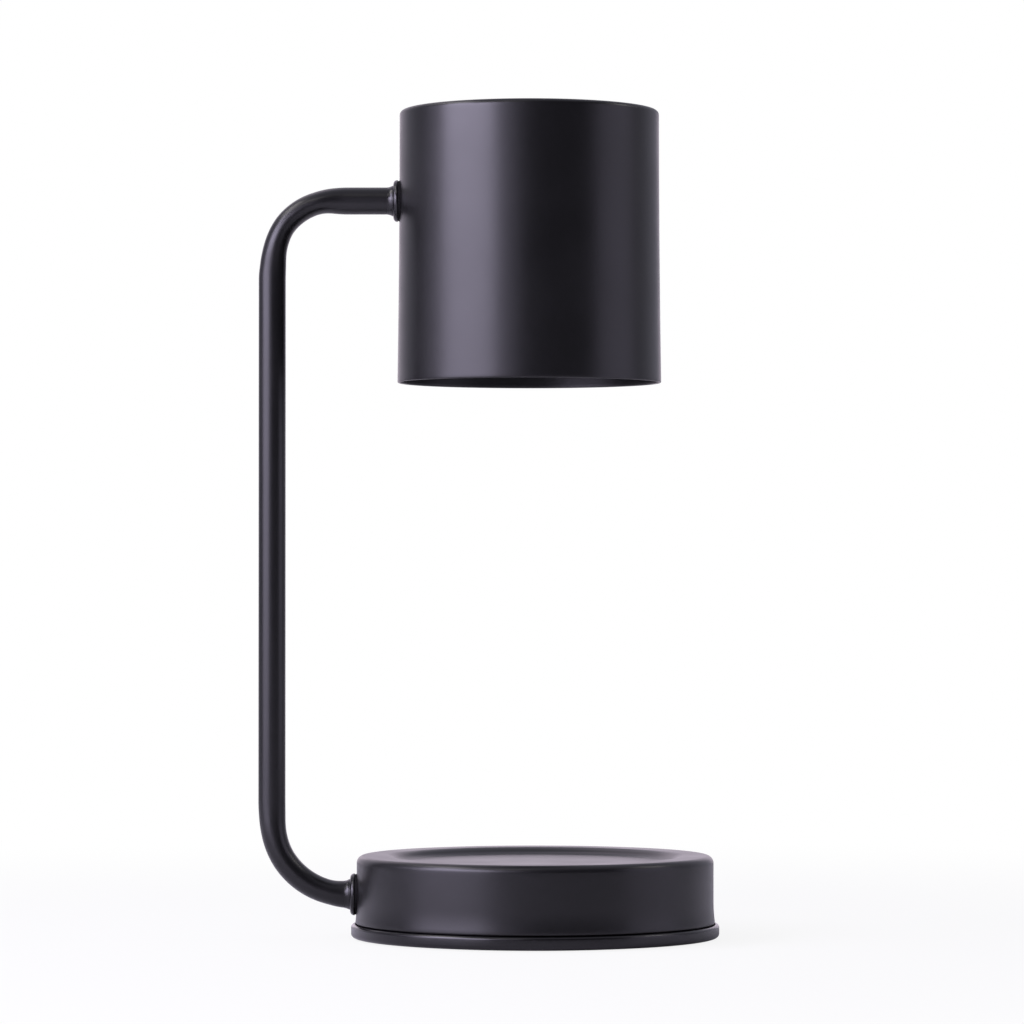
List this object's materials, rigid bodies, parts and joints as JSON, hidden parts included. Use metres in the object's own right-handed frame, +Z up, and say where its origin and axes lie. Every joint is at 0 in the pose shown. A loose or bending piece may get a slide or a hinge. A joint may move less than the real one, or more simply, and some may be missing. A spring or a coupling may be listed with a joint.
{
  "type": "candle warmer lamp",
  "caption": "Table lamp that warms a jar candle: round weighted base with a shallow tray, bent tube arm and drum shade over a twist-lock reflector bulb.",
  "frame": {"origin": "on the floor plane, on the axis of the round base", "axes": "+Z up, -X towards the arm, -Y towards the front, +Y towards the cord entry at the back"},
  "size_m": [0.1753, 0.1405, 0.315],
  "materials": {
    "black_paint": "satin",
    "zinc_steel": "satin",
    "brass": "satin",
    "foam_pad": "matte",
    "black_rubber": "matte",
    "cast_iron": "matte",
    "white_nylon": "satin",
    "bush_plastic": "satin",
    "lead_insulation": "satin",
    "white_ceramic": "matte",
    "reflector": "gloss",
    "clear_glass": "gloss"
  },
  "bodies": {
    "lamp": {"base_housing": "black_paint", "base_plate": "black_paint", "foot_pad": "foam_pad", "base_weight": "cast_iron", "base_screws": "zinc_steel", "weight_screws": "zinc_steel", "base_post_1": "zinc_steel", "base_post_2": "zinc_steel", "base_post_3": "zinc_steel", "terminal_block": "white_nylon", "terminal_screws": "zinc_steel", "terminal_fixing_screw": "zinc_steel", "terminal_tube_1": "brass", "terminal_tube_2": "brass", "cord_grommet": "black_rubber", "arm_tube": "black_paint", "upper_collar": "black_paint", "lower_collar": "black_paint", "upper_gasket": "black_rubber", "lower_gasket": "black_rubber", "upper_washer": "zinc_steel", "lower_washer": "zinc_steel", "upper_locknut": "zinc_steel", "lower_locknut": "zinc_steel", "upper_bush": "bush_plastic", "lower_bush": "bush_plastic", "lead_1": "lead_insulation", "lead_2": "lead_insulation", "shade": "black_paint", "holder_bracket": "zinc_steel", "lampholder": "white_ceramic", "holder_screws": "zinc_steel", "holder_nuts": "zinc_steel", "holder_contact_1": "brass", "holder_contact_2": "brass"},
    "bulb": {"bulb_reflector": "reflector", "bulb_lens": "clear_glass", "bulb_cap": "white_ceramic", "bulb_burner": "clear_glass", "bulb_pin_1": "zinc_steel", "bulb_pin_2": "zinc_steel"}
  },
  "joints": [
    {"name": "bulb_twist", "type": "hinge", "parent": "lamp", "child": "bulb", "pos_m": [-0.0022, 0, 0.2747], "axis": [0, 0, 1], "range_deg": [0, 35]}
  ]
}
